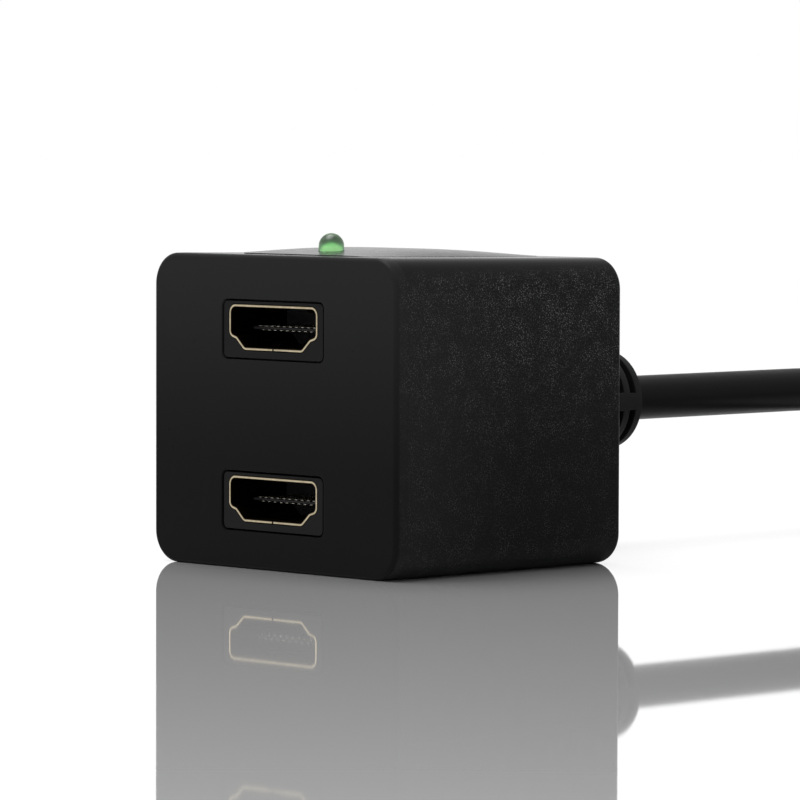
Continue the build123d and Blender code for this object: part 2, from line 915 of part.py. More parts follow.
def plug_outline(grow):
    """The inside of the plug's metal, with its skin moved out by grow."""
    sizes = (plug_opening_width, plug_opening_height, plug_opening_side)
    return plug_place * d_outline(grow, *sizes)


def make_plug_shell():
    metal = along_y(plug_outline(plug_metal_thickness), plug_tip, plug_grip_start)
    return metal - along_y(plug_outline(0), plug_tip - 1, plug_grip_start + 1)


def plug_strips(grow=0.0):
    """The contact strips let into the two faces of the plug's slot."""
    half = contact_width / 2 + grow
    face = plug_slot_height / 2
    y_range = (plug_tip + plug_insulator_setback + plug_contact_setback, plug_tip + plug_slot_depth)
    strips = []
    for x, side in contact_places():
        inner = side * (face - plug_contact_proud - grow)
        outer = side * (face + plug_contact_sunk + grow)
        strip = slab((x - half, x + half), y_range, sorted((inner, outer)))
        strips.append(Pos(tail_x, 0, plug_axis_height) * strip)
    return strips


def make_plug_insulator():
    front = plug_tip + plug_insulator_setback
    insulator = along_y(plug_outline(-plug_insulator_clearance), front, plug_grip_start)
    slot = plug_place * Rectangle(plug_slot_width, plug_slot_height)
    insulator -= along_y(slot, front - 1, plug_tip + plug_slot_depth)
    for groove in plug_strips(contact_clearance):
        insulator -= groove
    return insulator


housing_body = make_shell_body()
export("front_panel", make_front_panel())
export("upper_shell", make_upper_shell(housing_body))
export("lower_shell", make_lower_shell(housing_body))
export("top_label", make_top_label())
for level, port_height in port_heights.items():
    export(f"port_insert_{level}", make_port_insert(port_height))
    export(f"socket_shell_{level}", make_socket_metal(port_height))
    export(f"socket_tongue_{level}", make_tongue(port_height))
    export(f"socket_contacts_{level}", make_contacts(port_height))
export("status_led", make_led())
export("led_leads", make_led_leads())
export("main_board", make_board())
export("splitter_chip", make_chip())
export("chip_pins", make_chip_pins())
export("crystal", make_crystal())
export("voltage_regulator", make_regulator())
export("capacitor_can", make_capacitor_can())
export("board_passives", make_passives())
export("cable_wires", make_wires())
export("cable_crimp_ring", make_crimp_ring())
stub = round_y(cable_radius, cable_radius, jacket_end_y, exit_y, z=cable_height)
export("cable_jacket_stub", stub)
export("strain_relief", make_strain_relief())
export("cable_lead", make_tube("cable_lead", lead_route()))
export("cable_coil", make_coil())
export("cable_tail", make_tube("cable_tail", tail_route()))
export("coil_tie", make_tie())
export("plug_relief", make_plug_relief())
export("plug_grip", make_plug_grip())
export("plug_shell", make_plug_shell())
export("plug_insulator", make_plug_insulator())
export("plug_contacts", Compound(children=plug_strips()))
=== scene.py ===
import math

import bmesh
import bpy
from mathutils import Matrix, Quaternion, Vector


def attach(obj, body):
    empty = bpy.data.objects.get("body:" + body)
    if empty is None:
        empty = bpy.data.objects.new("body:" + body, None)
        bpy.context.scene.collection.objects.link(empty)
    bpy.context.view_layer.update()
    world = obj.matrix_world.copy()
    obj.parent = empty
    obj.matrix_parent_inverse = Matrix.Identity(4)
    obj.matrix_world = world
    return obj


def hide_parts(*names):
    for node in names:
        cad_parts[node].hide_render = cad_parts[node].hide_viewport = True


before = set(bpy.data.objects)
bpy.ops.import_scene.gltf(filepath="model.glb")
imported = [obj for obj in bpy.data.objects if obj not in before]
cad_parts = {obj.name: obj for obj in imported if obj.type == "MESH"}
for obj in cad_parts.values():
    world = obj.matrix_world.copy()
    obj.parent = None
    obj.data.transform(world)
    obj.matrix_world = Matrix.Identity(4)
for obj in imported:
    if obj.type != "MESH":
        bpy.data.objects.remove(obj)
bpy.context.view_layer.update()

mm = 0.001
hair = 0.001 * mm


# Circuit board and what it carries. A green laminate stands upright behind the sockets, with the
# splitter chip and its neighbours soldered to its back. Nothing of it shows once the box is shut,
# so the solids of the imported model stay, and get their finishes here.
class Channel:
    """One output of a shader node. Arithmetic on it adds Math nodes to its tree."""

    def __init__(self, tree, output):
        self.tree = tree
        self.output = output

    def maths(self, operation, *values):
        """A Math node over channels and numbers."""
        return self.tree.node("Math", {"operation": operation}, dict(enumerate(values)))

    def __add__(self, other):
        return self.maths("ADD", self, other)

    def __radd__(self, other):
        return self.maths("ADD", other, self)

    def __sub__(self, other):
        return self.maths("SUBTRACT", self, other)

    def __rsub__(self, other):
        return self.maths("SUBTRACT", other, self)

    def __mul__(self, other):
        return self.maths("MULTIPLY", self, other)

    def __rmul__(self, other):
        return self.maths("MULTIPLY", other, self)

    def ramp(self, low, high):
        """0 up to low, 1 from high on, and a smooth rise between them."""
        settings = {"interpolation_type": "SMOOTHSTEP"}
        return self.tree.node("MapRange", settings, {0: self, 1: low, 2: high})


class ShaderTree:
    """The shader nodes of one material, or of the world."""

    def __init__(self, nodes_of):
        nodes_of.use_nodes = True
        self.nodes = nodes_of.node_tree.nodes
        self.links = nodes_of.node_tree.links

    def join(self, socket, value):
        """Links a channel to a socket, or gives the socket a value."""
        if isinstance(value, Channel):
            self.links.new(value.output, socket)
        else:
            socket.default_value = value

    def node(self, kind, settings=None, sockets=None, output=0):
        """Adds a node with its settings, joins its sockets, and gives one of its outputs."""
        node = self.nodes.new("ShaderNode" + kind)
        for name, value in (settings or {}).items():
            setattr(node, name, value)
        for key, value in (sockets or {}).items():
            self.join(node.inputs[key], value)
        return Channel(self, node.outputs[output])


class Finish(ShaderTree):
    """The material of one surface, round a Principled shader."""

    def __init__(self, name, colour, roughness, **sockets):
        self.material = bpy.data.materials.new(name)
        super().__init__(self.material)
        self.shader = self.nodes["Principled BSDF"]
        self.set(base_color=(*colour, 1), roughness=roughness, **sockets)

    def set(self, **sockets):
        """Gives the shader's sockets their values, or links them to channels."""
        for name, value in sockets.items():
            title = name.replace("_", " ").title().replace("Ior", "IOR")
            self.join(self.shader.inputs[title], value)

    def place(self):
        """The point on the object, in metres."""
        return self.node("TexCoord", output="Object")

    def along(self, axis):
        """One coordinate of the point: 0, 1 or 2 for X, Y or Z."""
        return self.node("SeparateXYZ", sockets={0: self.place()}, output=axis)

    def noise(self, grain, detail=2.0, roughness=0.5):
        """Noise about 0.5, with blotches of about the given size."""
        sockets = {"Vector": self.place(), "Scale": 1 / grain, "Detail": detail}
        return self.node("TexNoise", sockets={**sockets, "Roughness": roughness})

    def mix(self, factor, first, second):
        """A colour between two colours."""
        sockets = {"Factor": factor}
        for key, colour in ((6, first), (7, second)):
            sockets[key] = colour if isinstance(colour, Channel) else (*colour, 1)
        return self.node("Mix", {"data_type": "RGBA"}, sockets, output=2)

    def bump(self, height, depth):
        """Tilts the shading by a height channel that stands for depth metres at 1."""
        sockets = {"Strength": 1.0, "Distance": depth, "Height": height}
        self.set(normal=self.node("Bump", sockets=sockets))


def ink(red, green, blue):
    """A screen colour of 0 to 255 as the linear values that shaders take."""
    shares = [value / 255 for value in (red, green, blue)]
    return tuple(s / 12.92 if s <= 0.04045 else ((s + 0.055) / 1.055) ** 2.4 for s in shares)


def dress(finish, *nodes):
    """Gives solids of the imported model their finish."""
    for node in nodes:
        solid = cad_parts[node]
        solid.data.materials.clear()
        solid.data.materials.append(finish.material)


laminate = Finish("solder mask", ink(18, 92, 48), 0.35, coat_weight=0.4)
weave = laminate.noise(0.4 * mm, 1)
laminate.set(base_color=laminate.mix(weave, ink(12, 76, 38), ink(28, 108, 60)))
laminate.bump(weave, 0.02 * mm)
dress(laminate, "main_board")

epoxy = Finish("moulded epoxy", ink(34, 34, 36), 0.55)
epoxy.set(roughness=0.45 + 0.2 * epoxy.noise(0.3 * mm))
epoxy.bump(epoxy.noise(0.12 * mm), 0.01 * mm)
dress(epoxy, "splitter_chip", "voltage_regulator")

tin = Finish("tinned wire", ink(205, 205, 203), 0.3, metallic=1.0)
tin.set(roughness=0.22 + 0.2 * tin.noise(0.5 * mm))
dress(tin, "chip_pins", "led_leads")

drawn_can = Finish("drawn can", ink(196, 198, 200), 0.28, metallic=1.0)
drawn_can.set(roughness=0.2 + 0.15 * drawn_can.noise(1 * mm))
dress(drawn_can, "crystal", "capacitor_can", "cable_crimp_ring")

fired_ceramic = Finish("fired ceramic", ink(168, 142, 112), 0.4)
fired_colours = ink(146, 120, 92), ink(186, 162, 134)
fired_ceramic.set(base_color=fired_ceramic.mix(fired_ceramic.noise(0.2 * mm), *fired_colours))
dress(fired_ceramic, "board_passives")

wire_sheath = Finish("wire sheath", ink(180, 176, 168), 0.5)
wire_sheath.set(roughness=0.42 + 0.16 * wire_sheath.noise(0.6 * mm))
dress(wire_sheath, "cable_wires")


# Socket metal. Each socket's shell is a strip of thin sheet, bent into a D with its wide side up
# and butted along the bottom, and plated pale gold. Spring leaves pressed into its walls grip a
# plug, and they rise a little into the opening.
front_y = -18 * mm
back_y = 18 * mm
mouth_y = front_y + 0.1 * mm
board_y = mouth_y + 11.2 * mm
port_heights = {"upper": 27.3 * mm, "lower": 7.9 * mm}
opening_half = 7.0 * mm
opening_top = 2.275 * mm
opening_side = 3.05 * mm
foot_inset = 2.3 * mm
bend_inset = 1 * mm
bend_drop = 0.3 * mm
bend_radius = 0.5 * mm
top_radius = 0.7 * mm
least_radius = 0.05 * mm
sheet = 0.32 * mm
sheet_round = 0.1 * mm
seam_half = 0.05 * mm
top_leaf_x = 3.4 * mm
foot_leaf_x = 2.4 * mm
leaf_width = 1.6 * mm
leaf_sheet = 0.12 * mm


def only_verts(parts):
    """The vertices among some parts of a form."""
    return [part for part in parts if isinstance(part, bmesh.types.BMVert)]


def bevel(form, edges, width, segments=2):
    """Rounds edges off."""
    bmesh.ops.bevel(
        form,
        geom=list(edges),
        offset=width,
        segments=segments,
        profile=0.5,
        affect="EDGES",
        material=-1,
        clamp_overlap=True,
    )


def is_cross(edge):
    """Whether an edge lies across Y."""
    return abs(edge.verts[0].co.y - edge.verts[1].co.y) < hair


def sharp_edges(form, start, end, least_angle=45):
    """The sharp edges between two Y values."""
    return [
        edge
        for edge in form.edges
        if all(start <= vert.co.y <= end for vert in edge.verts)
        and edge.is_manifold
        and math.degrees(edge.calc_face_angle()) > least_angle
    ]


def edges_at(form, y):
    """The sharp edges that lie in one plane across Y."""
    return sharp_edges(form, y - hair, y + hair)


def outline(form, places, closed=False):
    """A line of edges through places. It gives its vertices and its edges."""
    verts = [form.verts.new(place) for place in places]
    ends = list(zip(verts, verts[1:])) + ([(verts[-1], verts[0])] if closed else [])
    return verts, [form.edges.new(pair) for pair in ends]


def draw_out(form, edges, shift):
    """A strip of faces, from edges to where a shift takes them."""
    made = bmesh.ops.extrude_edge_only(form, edges=edges)["geom"]
    bmesh.ops.translate(form, verts=only_verts(made), vec=shift)


def wall_along_y(form, corners, start, end, closed=True, segments=6):
    """A wall of faces along Y over corners (x, z, radius), each rounded to its radius."""
    verts, edges = outline(form, [(x, start, z) for x, z, radius in corners], closed)
    draw_out(form, edges, (0, end - start, 0))
    for vert, (x, z, radius) in zip(verts, corners):
        if radius:
            edge = next(edge for edge in vert.link_edges if not is_cross(edge))
            half_turn = edge.calc_face_angle() / 2
            bevel(form, [edge], radius * math.tan(half_turn), segments)


def block_along_y(form, corners, start, end, segments=6):
    """A closed block along Y over rounded corners."""
    wall_along_y(form, corners, start, end, segments=segments)
    open_edges = [edge for edge in form.edges if edge.is_boundary]
    bmesh.ops.holes_fill(form, edges=open_edges, sides=0)
    bmesh.ops.recalc_face_normals(form, faces=form.faces)


def oblong(half_width, low, high, radius, x=0.0):
    """The four corners of an upright oblong about x."""
    left, right = x - half_width, x + half_width
    return [(left, low, radius), (right, low, radius), (right, high, radius), (left, high, radius)]


def grown(corners, amount):
    """Corners moved out, so that every side lies amount further out."""
    moved = []
    for index, (x, z, radius) in enumerate(corners):
        point = Vector((x, z))
        before = point - Vector(corners[index - 1][:2])
        after = Vector(corners[(index + 1) % len(corners)][:2]) - point
        outward = [Vector((side.y, -side.x)).normalized() for side in (before, after)]
        shift = (outward[0] + outward[1]) / (1 + outward[0].dot(outward[1])) * amount
        moved.append((x + shift.x, z + shift.y, max(radius + amount, least_radius)))
    return moved


def d_corners(height, half=opening_half, top=opening_top, side=opening_side, x=0.0):
    """The D of a socket or a plug: square at the top and drawn in at the bottom."""
    right = [
        (half - foot_inset, -top, bend_radius),
        (half - bend_inset, top - side - bend_drop, bend_radius),
        (half, top - side, bend_radius),
        (half, top, top_radius),
    ]
    left = [(-across, up, radius) for across, up, radius in reversed(right)]
    return [(x + across, height + up, radius) for across, up, radius in right + left]


def thicken(form, thickness):
    """Gives a sheet of faces its thickness: inward where it is positive, and outward if not."""
    bmesh.ops.solidify(form, geom=list(form.faces), thickness=thickness)
    bmesh.ops.recalc_face_normals(form, faces=form.faces)


def spring_leaf(form, x, root_z, down):
    """A leaf pressed out of a wall of the socket: it dips into the opening and curls back."""
    dips = [(6.4, 0.02), (5.2, 0.3), (4.2, 0.48), (3.5, 0.5), (3.0, 0.4), (2.6, 0.2)]
    left = x - leaf_width / 2
    places = [(left, mouth_y + deep * mm, root_z + down * dip * mm) for deep, dip in dips]
    draw_out(form, outline(form, places)[1], (leaf_width, 0, 0))


def join(form, other):
    """Adds another form's faces to a form."""
    mesh = bpy.data.meshes.new("joined")
    other.to_mesh(mesh)
    form.from_mesh(mesh)
    bpy.data.meshes.remove(mesh)
    other.free()


def place_object(name, data):
    """An object of the scene, at its origin."""
    thing = bpy.data.objects.new(name, data)
    bpy.context.scene.collection.objects.link(thing)
    return thing


def put(name, form, finish, slot, *nodes, sharp=35):
    """Makes a form a piece of the object, in place of its solids, with even shading."""
    bmesh.ops.remove_doubles(form, verts=form.verts, dist=hair)
    bmesh.ops.recalc_face_normals(form, faces=form.faces)
    for face in form.faces:
        face.smooth = True
    mesh = bpy.data.meshes.new(name)
    form.to_mesh(mesh)
    form.free()
    mesh.set_sharp_from_angle(angle=math.radians(sharp))
    mesh.materials.append(finish.material)
    piece = place_object(name, mesh)
    weighted = piece.modifiers.new("even shading", "WEIGHTED_NORMAL")
    weighted.keep_sharp = True
    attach(piece, "root")
    if nodes:
        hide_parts(*nodes)
    return piece


gold = Finish("gold plating", ink(200, 180, 142), 0.28, metallic=1.0)
bright_gold = gold.mix(gold.noise(0.6 * mm), ink(150, 136, 108), ink(206, 194, 166))
# Past the very rim of the mouth the plating, spring leaves too, is painted dark brown: painted
# shade inside the socket.
depth = gold.along(1) - mouth_y
gold.set(base_color=gold.mix(depth.ramp(0, 0.03 * mm), bright_gold, ink(44, 36, 24)))
gold.set(roughness=0.26 + 0.16 * gold.noise(0.3 * mm))

for level, height in port_heights.items():
    corners = d_corners(height)
    foot = height - opening_top
    strip = [(seam_half, foot, 0), *corners, (-seam_half, foot, 0)]
    form = bmesh.new()
    wall_along_y(form, strip, mouth_y, board_y, closed=False)
    thicken(form, -sheet)
    bevel(form, edges_at(form, mouth_y), sheet_round)
    leaves = bmesh.new()
    for side in (-1, 1):
        spring_leaf(leaves, side * top_leaf_x, height + opening_top, -1)
        spring_leaf(leaves, side * foot_leaf_x, height - opening_top, 1)
    thicken(leaves, leaf_sheet)
    join(form, leaves)
    put(f"socket_metal_{level}", form, gold, "gold_plate", f"socket_shell_{level}")


# Socket insulators. A moulded black block fills the back of each socket, and a thin tongue stands
# out of it with a rounded nose. Flat contacts lie on its two faces, ten above and nine below.
block_y = board_y - 2.6 * mm
block_fit = 0.05 * mm
tongue_y = mouth_y + 2 * mm
tongue_root = board_y - 1 * mm
tongue_drop = 0.1 * mm
tongue_half_width = 5.45 * mm
tongue_half = 0.18 * mm
nose_round = 0.12 * mm
contact_y = tongue_y + 0.17 * mm
contact_half = 0.21 * mm
contact_thick = 0.08 * mm
contact_pitch = 1.0 * mm
contact_round = 0.03 * mm


def box(form, low, high):
    """A block between two corners."""
    low, high = Vector(low), Vector(high)
    made = bmesh.ops.create_cube(form, size=1)["verts"]
    bmesh.ops.scale(form, verts=made, vec=high - low)
    bmesh.ops.translate(form, verts=made, vec=(low + high) / 2)


def contact_rows(form, centre, inner, outer, start, end):
    """Flat contacts along Y, from inner to outer off a centre (x, z): ten above, nine below."""
    for count, side in ((10, 1), (9, -1)):
        low_z, high_z = sorted((centre[1] + side * inner, centre[1] + side * outer))
        for index in range(count):
            x = centre[0] + (index - (count - 1) / 2) * contact_pitch
            box(form, (x - contact_half, start, low_z), (x + contact_half, end, high_z))


tongue_plastic = Finish("glass-filled nylon", ink(16, 16, 17), 0.5, specular_ior_level=0.2)
# The plastic is painted near black toward the tongue's nose, as painted shade in the mouth of the
# socket, and is a paler grey further back and in the plug's core.
depth = tongue_plastic.along(1).ramp(tongue_y + 1 * mm, board_y - 3 * mm)
tongue_plastic.set(base_color=tongue_plastic.mix(depth, ink(10, 10, 11), ink(62, 62, 63)))
tongue_plastic.set(roughness=0.4 + 0.2 * tongue_plastic.noise(0.4 * mm))
tongue_plastic.bump(tongue_plastic.noise(0.15 * mm), 0.008 * mm)

contact_metal = Finish("contact plating", ink(196, 192, 180), 0.25, metallic=1.0)
contact_metal.set(roughness=0.2 + 0.15 * contact_metal.noise(0.3 * mm))

for level, height in port_heights.items():
    form = bmesh.new()
    block_along_y(form, grown(d_corners(height), -block_fit), block_y, board_y)
    middle = height - tongue_drop
    low = (-tongue_half_width, tongue_y, middle - tongue_half)
    high = (tongue_half_width, tongue_root, middle + tongue_half)
    box(form, low, high)
    bevel(form, edges_at(form, tongue_y), nose_round)
    put(f"tongue_{level}", form, tongue_plastic, "tongue_black", f"socket_tongue_{level}")
    form = bmesh.new()
    contact_outer = tongue_half + contact_thick
    contact_rows(form, (0, middle), tongue_half, contact_outer, contact_y, block_y)
    bevel(form, edges_at(form, contact_y), contact_round)
    put(f"contacts_{level}", form, contact_metal, "contact_gold", f"socket_contacts_{level}")


# Port surrounds. A black plate fills each window of the end panel, a hair back from its face and
# with a narrow gap round it. It is slipped over the socket and has a flange behind the panel.
window_drop = 0.25 * mm
window_half_width = 8.4 * mm
window_half_height = 3.4 * mm
window_radius = 0.8 * mm
window_gap = 0.18 * mm
panel_back = front_y + 1.8 * mm
surround_face = front_y + 0.12 * mm
surround_round = 0.12 * mm
flange_start = panel_back + 0.06 * mm
flange_thick = 1 * mm
flange_reach = 0.9 * mm
block_clearance = 0.06 * mm
flange_clearance = 0.1 * mm
overlap = 0.1 * mm
beyond = 1 * mm


def window_corners(height):
    """The outline of the window for one port."""
    middle = height - window_drop
    low, high = middle - window_half_height, middle + window_half_height
    return oblong(window_half_width, low, high, window_radius)


def carve(form, tool):
    """Cuts one closed form out of another."""
    blanks = []
    for shape in (form, tool):
        mesh = bpy.data.meshes.new("blank")
        shape.to_mesh(mesh)
        blanks.append(place_object("blank", mesh))
    cut = blanks[0].modifiers.new("cut", "BOOLEAN")
    cut.object = blanks[1]
    cut.operation = "DIFFERENCE"
    cut.solver = "MANIFOLD"
    shown = blanks[0].evaluated_get(bpy.context.evaluated_depsgraph_get())
    carved = bpy.data.meshes.new_from_object(shown)
    form.clear()
    form.from_mesh(carved)
    bpy.data.meshes.remove(carved)
    for blank in blanks:
        bpy.data.meshes.remove(blank.data)
    tool.free()


surround_plastic = Finish("surround plastic", ink(16, 16, 17), 0.3, specular_ior_level=0.08)
surround_plastic.set(roughness=0.26 + 0.16 * surround_plastic.noise(0.8 * mm))
surround_plastic.bump(surround_plastic.noise(0.3 * mm), 0.004 * mm)

for level, height in port_heights.items():
    window = window_corners(height)
    form = bmesh.new()
    block_along_y(form, grown(window, -window_gap), surround_face, flange_start + overlap)
    bevel(form, edges_at(form, surround_face), surround_round)
    flange = bmesh.new()
    flange_corners = grown(window, flange_reach)
    block_along_y(flange, flange_corners, flange_start, flange_start + flange_thick)
    for block, clearance in ((form, block_clearance), (flange, flange_clearance)):
        tool = bmesh.new()
        hole = grown(d_corners(height), sheet + clearance)
        block_along_y(tool, hole, front_y - beyond, flange_start + flange_thick + beyond)
        carve(block, tool)
    join(form, flange)
    put(f"port_surround_{level}", form, surround_plastic, "insert_black", f"port_insert_{level}")


# Status light. A small green light-emitting diode, cast in tinted clear epoxy with a flange at
# its foot, is pushed up through the roof. A paler, cloudy core shows through the lens. The core
# has a faint painted glow, and its top is painted a darker green as painted shade.
led_y = front_y + 9.1 * mm
led_radius = 1.45 * mm
led_top = 37.9 * mm
led_foot = 32.8 * mm
led_flange_radius = 1.85 * mm
led_flange_top = led_foot + 0.9 * mm
core_radius = 0.9 * mm
core_foot = led_foot + 1.4 * mm
core_shoulder = led_foot + 3 * mm
dome_steps = 8


def spin_round(form, centre, axis, steps):
    """Turns all lines of a form once round an axis, into a closed skin."""
    bmesh.ops.spin(
        form,
        geom=list(form.verts) + list(form.edges),
        cent=centre,
        axis=axis,
        angle=2 * math.pi,
        steps=steps,
        use_merge=True,
    )
    bmesh.ops.remove_doubles(form, verts=form.verts, dist=hair)


def domed_rod(form, profile, y, steps):
    """Turns a profile of (radius, height) about the upright axis at y, under a round dome."""
    verts = outline(form, [(radius, y, z) for radius, z in profile])[0]
    dome_centre = (0, y, profile[-1][1])
    bmesh.ops.spin(
        form,
        geom=verts[-1:],
        cent=dome_centre,
        axis=(0, 1, 0),
        angle=-math.pi / 2,
        steps=dome_steps,
    )
    spin_round(form, (0, y, 0), (0, 0, 1), steps)


lens = Finish("tinted lens", ink(118, 176, 122), 0.3, transmission_weight=1.0, ior=1.45)
lens.set(roughness=0.28 + 0.08 * lens.noise(0.5 * mm))
form = bmesh.new()
lens_profile = [
    (0, led_foot),
    (led_flange_radius, led_foot),
    (led_flange_radius, led_flange_top),
    (led_radius, led_flange_top),
    (led_radius, led_top - led_radius),
]
domed_rod(form, lens_profile, led_y, 48)
put("light_lens", form, lens, "led_green", "status_led")

# The core has a faint painted glow. Toward its top its colour and glow are painted a darker green,
# as painted shade; the cloudy blotches are its own.
core = Finish("cloudy core", ink(240, 255, 226), 0.5, emission_strength=0.5)
core_top_shade = core.along(2).ramp(led_top - 1.8 * mm, led_top - 1 * mm)
clouds = 0.15 * core.noise(0.3 * mm)
core.set(base_color=core.mix(core_top_shade + clouds, ink(244, 255, 232), ink(120, 170, 122)))
core.set(emission_color=core.mix(core_top_shade, ink(226, 246, 204), ink(60, 96, 62)))
form = bmesh.new()
core_profile = [(0, core_foot), (core_radius, core_foot), (core_radius, core_shoulder)]
domed_rod(form, core_profile, led_y, 24)
put("light_core", form, core, "led_green")


# Housing shells. The body is moulded in two halves of black plastic with a fine spark-eroded
# grain. They meet halfway up in a hairline, where a lip of the lower half enters the upper one.
half_width = 20 * mm
housing_top = 35.5 * mm
roof_drop = 0.45 * mm
edge_radius = 3.6 * mm
edge_steps = 16
back_round = 0.8 * mm
wall = 1.7 * mm
shell_y = panel_back + 0.01 * mm
parting = 17.75 * mm
parting_gap = 0.02 * mm
lip_thick = 0.7 * mm
lip_foot = parting - 0.5 * mm
lip_height = 1.7 * mm
cable_z = 17.5 * mm
neck_hole_radius = 4.5 * mm
neck_hole_depth = 5 * mm
led_hole_radius = led_radius + 0.1 * mm
led_hole_depth = 3 * mm
body_corners = oblong(half_width, 0, housing_top, edge_radius)


def upright_rod(form, radius, low, high, x=0.0, y=0.0, sides=48):
    """A closed round rod along Z."""
    made = bmesh.ops.create_cone(
        form, cap_ends=True, segments=sides, radius1=radius, radius2=radius, depth=high - low
    )["verts"]
    bmesh.ops.translate(form, verts=made, vec=(x, y, (low + high) / 2))


def split(form, place, normal, **cleared):
    """Cuts all faces along a plane, and clears what is named of its two sides."""
    bmesh.ops.bisect_plane(
        form,
        geom=list(form.verts) + list(form.edges) + list(form.faces),
        dist=hair / 10,
        plane_co=place,
        plane_no=normal,
        **cleared,
    )


def faces_at(form, y):
    """The faces that have their middle in one plane across Y."""
    return [face for face in form.faces if abs(face.calc_center_median().y - y) < hair]


def shell_half(form, plane_z, keep_above):
    """One half of the body, open at the panel and along the parting line.

    The roof comes down a little toward the back.
    """
    block_along_y(form, body_corners, shell_y, back_y, edge_steps)
    back = [vert for vert in form.verts if abs(vert.co.y - back_y) < hair]
    bmesh.ops.scale(form, verts=back, vec=(1, 1, (housing_top - roof_drop) / housing_top))
    bevel(form, edges_at(form, back_y), back_round, 6)
    bmesh.ops.delete(form, geom=faces_at(form, shell_y), context="FACES_ONLY")
    split(form, (0, 0, plane_z), (0, 0, 1), clear_inner=keep_above, clear_outer=not keep_above)
    thicken(form, wall)


def neck_hole():
    """A rod through the back wall, which cuts the opening for the sleeve's neck."""
    tool = bmesh.new()
    upright_rod(tool, neck_hole_radius, -neck_hole_depth / 2, neck_hole_depth / 2)
    turn = Matrix.Rotation(math.radians(-90), 3, "X")
    bmesh.ops.rotate(tool, verts=tool.verts, cent=(0, 0, 0), matrix=turn)
    middle = back_y + beyond - neck_hole_depth / 2
    bmesh.ops.translate(tool, verts=tool.verts, vec=(0, middle, cable_z))
    return tool


def led_hole(depth):
    """A rod down through the roof, which cuts the opening for the status light."""
    tool = bmesh.new()
    upright_rod(tool, led_hole_radius, housing_top - depth, housing_top + beyond, y=led_y)
    return tool


def grain_with_painted_light(finish):
    """Fine pale points on black, in patches: painted glints on the grain. They are plainest high
    up, toward the back, as a painted highlight.
    """
    height = finish.along(2)
    front_part = 1 - finish.along(1).ramp(-17 * mm, 4 * mm)
    # On the top edge the black is darker and bare of points: painted shade.
    below_edge = 1 - height.ramp(32.8 * mm, 34.6 * mm)
    points = finish.noise(0.14 * mm, 1).ramp(0.54, 0.76)
    patches = 0.35 + 0.65 * finish.noise(2.5 * mm, 3).ramp(0.4, 0.62)
    high_up = height.ramp(12 * mm, 31 * mm) * (1 - 0.65 * front_part)
    strength = points * patches * (0.25 + 0.75 * high_up)
    # The black is painted lighter toward the front and high up, as painted light.
    painted_lightness = (0.55 * front_part + 0.25 * height.ramp(8 * mm, 31 * mm)) * below_edge
    ground = finish.mix(painted_lightness, ink(25, 25, 26), ink(38, 38, 39))
    return finish.mix(strength * below_edge, ground, ink(126, 126, 127))


grain_plastic = Finish("grained plastic", ink(18, 18, 19), 0.3, specular_ior_level=0.02)
# The grain's colour holds painted glints, a painted highlight high up, painted light on the black
# and painted shade on the top edge.
grain_plastic.set(base_color=grain_with_painted_light(grain_plastic))
on_roof = grain_plastic.along(2).ramp(34.3 * mm, 34.9 * mm)
grain = grain_plastic.noise(0.14 * mm, 1)
grain_plastic.set(roughness=(0.26 + 0.14 * grain) * (1 - 0.5 * on_roof))
grain_plastic.bump(grain * (1 - 0.7 * on_roof), 0.012 * mm)

form = bmesh.new()
shell_half(form, parting, False)
lip_outer = wall - lip_thick
lip_x = half_width - lip_outer
lip_y = back_y - lip_outer
lip = bmesh.new()
lip_corners = [(-lip_x, shell_y), (-lip_x, lip_y), (lip_x, lip_y), (lip_x, shell_y)]
lip_edges = outline(lip, [(x, y, lip_foot) for x, y in lip_corners])[1]
draw_out(lip, lip_edges, (0, 0, lip_height))
thicken(lip, lip_thick)
carve(form, neck_hole())
carve(lip, neck_hole())
join(form, lip)
put("shell_lower", form, grain_plastic, "shell_black", "lower_shell")

form = bmesh.new()
shell_half(form, parting + parting_gap, True)
carve(form, neck_hole())
carve(form, led_hole(led_hole_depth))
put("shell_upper", form, grain_plastic, "shell_black", "upper_shell")


# End panel. A smooth satin plate closes the front of the body. It is pressed in on a thin spigot
# with four snap beads, and its two windows let the sockets through.
panel_round = 0.5 * mm
window_round = 0.16 * mm
spigot_gap = 0.12 * mm
spigot_length = 2 * mm
spigot_thick = 1 * mm
bead_radius = 0.35 * mm
bead_half = 2 * mm
bead_y = panel_back + 1 * mm
bead_heights = (0.27 * housing_top, 0.73 * housing_top)

satin_plastic = Finish("satin plastic", ink(20, 20, 21), 0.3, specular_ior_level=0.03)
# The face is painted lighter toward the top, as painted light from the lamp above. Its sides take
# the grain's colour, with its painted glints.
painted_top_light = satin_plastic.along(2).ramp(8 * mm, 40 * mm)
face_with_painted_light = satin_plastic.mix(painted_top_light, ink(20, 20, 21), ink(40, 40, 41))
rim = 0.75 * satin_plastic.along(1).ramp(front_y + 0.3 * mm, front_y + 0.8 * mm)
satin_plastic.set(base_color=satin_plastic.mix(rim, face_with_painted_light, grain_with_painted_light(satin_plastic)))
satin_plastic.set(roughness=0.24 + 0.12 * satin_plastic.noise(2 * mm))
satin_plastic.bump(satin_plastic.noise(0.25 * mm), 0.004 * mm)

